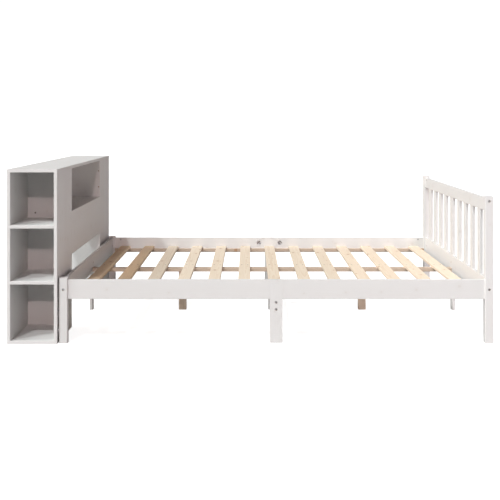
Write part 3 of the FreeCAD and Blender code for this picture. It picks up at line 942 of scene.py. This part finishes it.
class BED_OT_slat_bearers(PieceOperator, bpy.types.Operator):
    """Make the centre beam and the battens that carry the slats"""

    bl_idname = "bed.slat_bearers"
    bl_label = "Centre beam and battens"

    def make(self):
        cutters = all_bores()
        edge = sizes().frame_edge
        # The beam and the battens take the darker pine, painted shade under the slats.
        for end in ENDS:
            self.boards([f"centre_beam_{end}"], 0, edge, cutters, slot="natural_pine", maker=bearer_pine)
        remove(cutters)
        self.board_set(
            "planed_side_battens", "side_battens", "side_batten", 0, "natural_pine", maker=bearer_pine)


class BED_OT_slats(PieceOperator, bpy.types.Operator):
    """Make a slat of each wood and copy it along the bed"""

    bl_idname = "bed.slats"
    bl_label = "Slats"

    def make(self):
        cutters = screw_sinks()
        nodes = slat_nodes()
        # The first slats get the browner pine, painted shade for the bookcase's shadow on them.
        for alike, maker in ((nodes[:SHADE_BROWNED_SLATS], brown_pine), (nodes[SHADE_BROWNED_SLATS:], planed_pine)):
            self.boards(alike, 1, sizes().frame_edge, cutters, slot="natural_pine", maker=maker)
        remove(cutters)


# ---- Operators: hardware ----


def aim(start, direction):
    """The matrix that takes the origin to a point and +Z to a direction."""
    return Matrix.Translation(start) @ direction.to_track_quat("Z", "Y").to_matrix().to_4x4()


def socket_bolt(length):
    """A socket head bolt with its seat at the origin and its head up."""
    head, radius, point = Bolt.HEAD_HEIGHT, Bolt.HEAD_RADIUS, 1 * MM
    socket_width, socket_depth = 4 * MM, 3 * MM
    bolt = rod("bolt", Vector((0, 0, 0)), AXES[2], radius, head)
    edit_edges(bolt, lambda a, b: min(a.z, b.z) > head - 0.01 * MM)
    bpy.ops.mesh.bevel(offset=0.6 * MM, segments=3, profile=0.5, affect="EDGES")
    edit_faces(bolt, lambda middle, normal: normal.z < -0.9)
    bpy.ops.mesh.inset(thickness=radius - ROD_RADIUS)
    extrude(point - length)
    extrude(-point)
    bpy.ops.transform.resize(value=(0.8, 0.8, 1))
    bpy.ops.object.mode_set(mode="OBJECT")
    key = rod("key", Vector((0, 0, head - socket_depth)), AXES[2], socket_width / math.sqrt(3),
              socket_depth + PROUD, 6)
    cut(bolt, [key])
    remove([key])
    finish_edges(bolt, 0.15 * MM, 1)
    return bolt


def hand_over_fittings(node, fittings, maker=None):
    """Join steel fittings to the piece that stands for their node."""
    hand_over(joined(f"steel_{node}", fittings), "zinc_steel", node, maker=maker)


class BED_OT_bolts(PieceOperator, bpy.types.Operator):
    """Make the socket head bolts, one of each length, and copy them into their bores"""

    bl_idname = "bed.bolts"
    bl_label = "Frame bolts"

    def make(self):
        patterns, bolts = {}, []
        for points in solids_of("frame_bolts"):
            place = Bolt(points)
            key = round(place.length * 1000, 1)
            if key not in patterns:
                patterns[key] = socket_bolt(place.length)
            bolts.append(copy_of(patterns[key], "bolt", aim(place.seat, -place.direction)))
        remove(patterns.values())
        hand_over_fittings("frame_bolts", bolts)


def barrel_nut():
    """A barrel nut about the origin, along Z, with a slot in its upper end and its thread along X."""
    half = BARREL_LENGTH / 2
    nut = rod("nut", Vector((0, 0, -half)), AXES[2], BARREL_RADIUS, BARREL_LENGTH)
    edit_edges(nut, lambda a, b: abs(a.z) > half - 0.1 * MM and abs(a.z - b.z) < 0.01 * MM)
    bpy.ops.mesh.bevel(offset=0.5 * MM, segments=2, profile=0.5, affect="EDGES")
    bpy.ops.object.mode_set(mode="OBJECT")
    thread = rod("thread", Vector((-6 * MM, 0, 0)), AXES[0], 2.7 * MM, 12 * MM, 24)
    slot = block("slot", (-6 * MM, -0.6 * MM, 5.8 * MM), (6 * MM, 0.6 * MM, 8 * MM))
    cut(nut, [thread, slot])
    remove([thread, slot])
    finish_edges(nut, 0.12 * MM, 1)
    return nut


def screw_places():
    """Where the wood screws' heads are, and the way that they face."""
    places = []
    for node in slat_nodes():
        low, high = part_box(node)
        for beside in (-SCREW_SPREAD, SCREW_SPREAD):
            places.append((Vector(((low.x + high.x) / 2 + beside, 0, high.z)), AXES[2]))
    low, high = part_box("niche_shelf")
    middle = (low + high) / 2
    for side, outer in ((1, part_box("divider_left")[1].y), (-1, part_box("divider_right")[0].y)):
        for beside in (-SHELF_SCREW_SPREAD, SHELF_SCREW_SPREAD):
            places.append((Vector((middle.x + beside, outer, middle.z)), AXES[1] * side))
    return places


def screw_sinks():
    """A cutter for each screw head's countersink."""
    radius = sizes().screw_head + 0.25 * MM
    depth = 0.6 * MM
    return [rod("sink", place + face * PROUD, -face, radius, depth + PROUD, 24)
            for place, face in screw_places()]


def wood_screw():
    """A countersunk wood screw with its head's face at the origin, looking up."""
    head = sizes().screw_head
    neck, rim, shank = -2.2 * MM, -0.4 * MM, 1.7 * MM
    screw = rod("screw", Vector((0, 0, neck)), -AXES[2], shank, 20 * MM, 20)
    edit_faces(screw, lambda middle, normal: normal.z > 0.9)
    extrude(rim - neck)
    bpy.ops.transform.resize(value=(head / shank, head / shank, 1))
    extrude(-rim - 0.12 * MM)
    bpy.ops.object.mode_set(mode="OBJECT")
    edit_faces(screw, lambda middle, normal: normal.z < -0.9 and middle.z < 2 * neck)
    extrude(-4 * MM)
    bpy.ops.transform.resize(value=(0.1, 0.1, 1))
    bpy.ops.object.mode_set(mode="OBJECT")
    arm, half = 2.2 * MM, 0.5 * MM
    recess = [block("recess", (-arm, -half, -1.5 * MM), (arm, half, MM)),
              block("recess", (-half, -arm, -1.5 * MM), (half, arm, MM))]
    cut(screw, recess)
    remove(recess)
    finish_edges(screw, 0.1 * MM, 1)
    return screw


class BED_OT_wood_screws(PieceOperator, bpy.types.Operator):
    """Make one wood screw and copy it into each countersink"""

    bl_idname = "bed.wood_screws"
    bl_label = "Wood screws"

    def make(self):
        pattern = wood_screw()
        draw = random.Random("screws")
        screws = []
        for place, face in screw_places():
            turned = aim(place, face) @ Matrix.Rotation(draw.uniform(0, math.pi), 4, "Z")
            screws.append(copy_of(pattern, "screw", turned))
        remove([pattern])
        hand_over(joined("steel_wood_screws", screws), "zinc_steel", maker=black_steel)


class BED_OT_barrel_nuts(PieceOperator, bpy.types.Operator):
    """Make one barrel nut and copy it into each nut bore"""

    bl_idname = "bed.barrel_nuts"
    bl_label = "Barrel nuts"

    def make(self):
        pattern, nuts = barrel_nut(), []
        for low, high in boxes_of("barrel_nuts"):
            middle = (low + high) / 2
            nuts.append(copy_of(pattern, "nut", aim(middle, inward(long_axis(low, high), middle))))
        remove([pattern])
        hand_over_fittings("barrel_nuts", nuts)


def threaded_rod(low, high):
    """A rod with broken ends, and the attribute that its thread follows."""
    axis, length, start = line_of(low, high)
    bar = rod("rod", start, AXES[axis], ROD_RADIUS, length, 24)
    edit_faces(bar, lambda middle, normal: abs(normal[axis]) > 0.9)
    bpy.ops.mesh.inset(thickness=0.6 * MM)
    bpy.ops.object.mode_set(mode="OBJECT")
    finish_edges(bar, 0.5 * MM)
    lay_grain(bar, "rod", low, high)
    return bar


def disc_with_hole(low, high, radius, hole_radius, sides, edge):
    """A nut or a ring that lies across X."""
    length = high.x - low.x
    start = (low + high) / 2 - AXES[0] * (length / 2)
    disc = rod("disc", start, AXES[0], radius, length, sides)
    hole = rod("hole", start - AXES[0] * PROUD, AXES[0], hole_radius, length + 2 * PROUD, 24)
    cut(disc, [hole])
    remove([hole])
    finish_edges(disc, edge)
    return disc


def rod_nut(low, high):
    across_flats = 10 * MM
    return disc_with_hole(low, high, across_flats / math.sqrt(3), ROD_RADIUS + 0.02 * MM, 6, 0.45 * MM)


def link_spacer(low, high):
    return disc_with_hole(low, high, 9 * MM, BORE_RADIUS, 40, 0.6 * MM)


def crescent_washer(low, high):
    """A disc that fills a round pocket, cut off flat where the nut bears, with the rod's bore."""
    end = 1 if low.x > BED_MID else -1
    height = (low.z + high.z) / 2
    centre = Vector((BED_MID + end * POCKET_OFFSET, low.y, height))
    washer = rod("washer", centre, AXES[1], POCKET_RADIUS - 0.3 * MM, high.y - low.y, 64)
    flat = high.x if end > 0 else low.x
    edit_faces(washer, lambda middle, normal: True)
    bpy.ops.mesh.bisect(
        plane_co=(flat, centre.y, height), plane_no=(end, 0, 0), use_fill=True, clear_outer=True)
    bpy.ops.object.mode_set(mode="OBJECT")
    start = Vector((BED_MID, (low.y + high.y) / 2, height))
    bore = rod("bore", start, AXES[0] * end, BORE_RADIUS, 2 * POCKET_OFFSET)
    cut(washer, [bore])
    remove([bore])
    finish_edges(washer, 0.4 * MM)
    return washer


class BED_OT_splice_hardware(PieceOperator, bpy.types.Operator):
    """Make the rods and nuts that draw the side rails together, and the end legs' studs"""

    bl_idname = "bed.splice_hardware"
    bl_label = "Rods and nuts"

    def make(self):
        rods = repeats(boxes_of("threaded_rods"), threaded_rod)
        hand_over_fittings("threaded_rods", rods, maker=threaded_steel)
        hand_over_fittings("rod_nuts", repeats(boxes_of("rod_nuts"), rod_nut))


class BED_OT_crescent_washers(PieceOperator, bpy.types.Operator):
    """Make the half-moon washers in the round pockets"""

    bl_idname = "bed.crescent_washers"
    bl_label = "Crescent washers"

    def make(self):
        washers = repeats(
            boxes_of("crescent_washers"), crescent_washer, kind=lambda low: low.x > BED_MID)
        hand_over_fittings("crescent_washers", washers)


class BED_OT_link_spacers(PieceOperator, bpy.types.Operator):
    """Make the rings that keep the bookcase off the head posts"""

    bl_idname = "bed.link_spacers"
    bl_label = "Link spacers"

    def make(self):
        hand_over_fittings("link_spacers", repeats(boxes_of("link_spacers"), link_spacer))


class BED_OT_dowels(PieceOperator, bpy.types.Operator):
    """Give the dowels their beech"""

    bl_idname = "bed.dowels"
    bl_label = "Dowels"

    def execute(self, context):
        materials = NODES["dowels"].data.materials
        materials.clear()
        materials.append(finish("beech"))
        return {"FINISHED"}


# ---- Operator: stage ----


LAMP_DISTANCE = 9
LAMPS = (  # name, degrees counter-clockwise from +X, degrees up, strength, colour
    ("key", 255, 48, 1.28, (0.965, 0.985, 0.99)),
    ("wide_key", 225, 48, 1.29, (0.92, 0.995, 1.0)),
    ("head_side", 195, 48, 1.0, (0.92, 0.965, 0.985)),
    ("head_high", 180, 62, 0.22, (0.78, 0.89, 1.0)),
    ("head_low", 180, 22, 0.78, (1.0, 0.84, 0.76)),
    ("front", 275, 22, 0.61, (1.0, 0.79, 0.77)),
    ("behind", 92, 10, 0.55, (0.93, 0.97, 1.0)),
)


def lamp(name, azimuth, elevation, strength, colour):
    """A far studio lamp, so that its rays are parallel over the bed."""
    deselect()
    turn, rise = math.radians(azimuth), math.radians(elevation)
    away = Vector((math.cos(turn) * math.cos(rise), math.sin(turn) * math.cos(rise), math.sin(rise)))
    facing = away.to_track_quat("Z", "Y").to_euler()
    bpy.ops.object.light_add(type="SUN", location=away * LAMP_DISTANCE, rotation=facing)
    light = bpy.context.object
    light.name = name
    light.visible_glossy = azimuth >= 180  # the lamp behind would shine on the slats at a low angle
    light.data.angle = math.radians(2.5)
    light.data.energy = strength
    light.data.color = colour


def foot_lamp():
    """A near softbox beyond the foot, for the shaded faces."""
    deselect()
    place, target = Vector((4.3, -1.4, 1.2)), Vector((0, 0, 0.3))
    facing = (place - target).to_track_quat("Z", "Y").to_euler()
    bpy.ops.object.light_add(type="AREA", location=place, rotation=facing)
    light = bpy.context.object
    light.name = "foot_softbox"
    light.data.size = 1.6
    light.data.energy = 58
    light.data.color = (1.0, 0.87, 0.90)


class BED_OT_stage(PieceOperator, bpy.types.Operator):
    """Set up the camera, the floor and the studio lights"""

    bl_idname = "bed.stage"
    bl_label = "Studio stage"

    CAMERA_X = -0.002
    FLOOR_SIZE = 80

    def make(self):
        scene = bpy.context.scene
        stage = scene.bed_stage
        self.camera(scene, stage)
        self.floor(stage)
        for settings in LAMPS:
            lamp(*settings)
        foot_lamp()
        self.surround(scene, stage)
        scene.view_settings.view_transform = "Standard"

    def camera(self, scene, stage):
        """A level camera square to the bed's side."""
        deselect()
        place = (self.CAMERA_X, -stage.camera_distance, stage.camera_height)
        bpy.ops.object.camera_add(location=place, rotation=(math.pi / 2, 0, 0))
        camera = bpy.context.object
        camera.name = "camera"
        camera.data.lens = stage.lens
        camera.data.sensor_width = 36
        camera.data.shift_y = stage.camera_shift
        camera.data.clip_end = 200
        scene.camera = camera

    def floor(self, stage):
        """A pale floor that looks white to the camera, and that lights the bed no more for it."""
        deselect()
        bpy.ops.mesh.primitive_grid_add(x_subdivisions=4, y_subdivisions=4, size=self.FLOOR_SIZE)
        floor = new_piece("floor")
        paper = bpy.data.materials.new("studio_floor")
        recipe = Recipe(paper)
        mottle = recipe.noise(recipe.node("ShaderNodeTexCoord", {}, {}, "Object"), 3, 2)
        shade = colours().floor
        colour = recipe.mix(mottle * 0.3, shade, [part * 0.96 for part in shade])
        seen = recipe.node("ShaderNodeLightPath", {}, {}, "Is Camera Ray")
        recipe.surface(
            colour, 0.9, recipe.bump(mottle, 0.0001), Specular_IOR_Level=0.0,
            Emission_Color=recipe.mix(seen, (0, 0, 0), (1, 1, 1)), Emission_Strength=stage.floor_glow)
        floor.data.materials.append(paper)
        floor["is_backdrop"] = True

    @staticmethod
    def surround(scene, stage):
        """White to the camera, and to the object a warm room that is lit from beyond the head."""
        scene.world = bpy.data.worlds.new("studio")
        recipe = Recipe(scene.world)
        towards_foot = recipe.parts(recipe.node("ShaderNodeTexCoord", {}, {}, "Generated"))[0]
        fill = (towards_foot * -stage.fill).of("MAXIMUM", 0)
        seen = recipe.node("ShaderNodeLightPath", {}, {}, "Is Camera Ray")
        background = recipe.node("ShaderNodeBackground", {}, {
            "Color": recipe.mix(seen, stage.fill_colour, (1, 1, 1)),
            "Strength": fill * (1 - seen) + seen * 1.05})
        recipe.node("ShaderNodeOutputWorld", {}, {"Surface": background})


# ---- Panel and registration ----

OPERATORS = (
    BED_OT_bookcase_top,
    BED_OT_bookcase_columns,
    BED_OT_bookcase_dividers,
    BED_OT_bookcase_shelves,
    BED_OT_bookcase_centre,
    BED_OT_posts,
    BED_OT_side_rails,
    BED_OT_cross_rails,
    BED_OT_foot_uprights,
    BED_OT_legs,
    BED_OT_slat_bearers,
    BED_OT_slats,
    BED_OT_bolts,
    BED_OT_wood_screws,
    BED_OT_barrel_nuts,
    BED_OT_splice_hardware,
    BED_OT_crescent_washers,
    BED_OT_link_spacers,
    BED_OT_dowels,
    BED_OT_stage,
)


class BED_PT_panel(bpy.types.Panel):
    """The bed's settings and pieces"""

    bl_label = "Bookcase headboard bed"
    bl_idname = "BED_PT_panel"
    bl_space_type = "VIEW_3D"
    bl_region_type = "UI"
    bl_category = "Bed"

    def draw(self, context):
        scene = context.scene
        for group in (scene.bed_sizes, scene.bed_colours, scene.bed_stage):
            column = self.layout.column(align=True)
            for name in group.__annotations__:
                column.prop(group, name)
        column = self.layout.column(align=True)
        for operator in OPERATORS:
            column.operator(operator.bl_idname)


SETTINGS = {"bed_sizes": BedSizes, "bed_colours": BedColours, "bed_stage": BedStage}


def register():
    for name, group in SETTINGS.items():
        bpy.utils.register_class(group)
        setattr(bpy.types.Scene, name, bpy.props.PointerProperty(type=group))
    for cls in (*OPERATORS, BED_PT_panel):
        bpy.utils.register_class(cls)


def unregister():
    for cls in (BED_PT_panel, *reversed(OPERATORS)):
        bpy.utils.unregister_class(cls)
    for name, group in SETTINGS.items():
        delattr(bpy.types.Scene, name)
        bpy.utils.unregister_class(group)


def main():
    register()
    for operator in OPERATORS:
        group, name = operator.bl_idname.split(".")
        getattr(getattr(bpy.ops, group), name)()
    boxes = {"cad": cad_bounds, "visual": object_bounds()}
    {key: [list(corner) for corner in value] for key, value in boxes.items()}


if __name__ == "__main__":
    main()
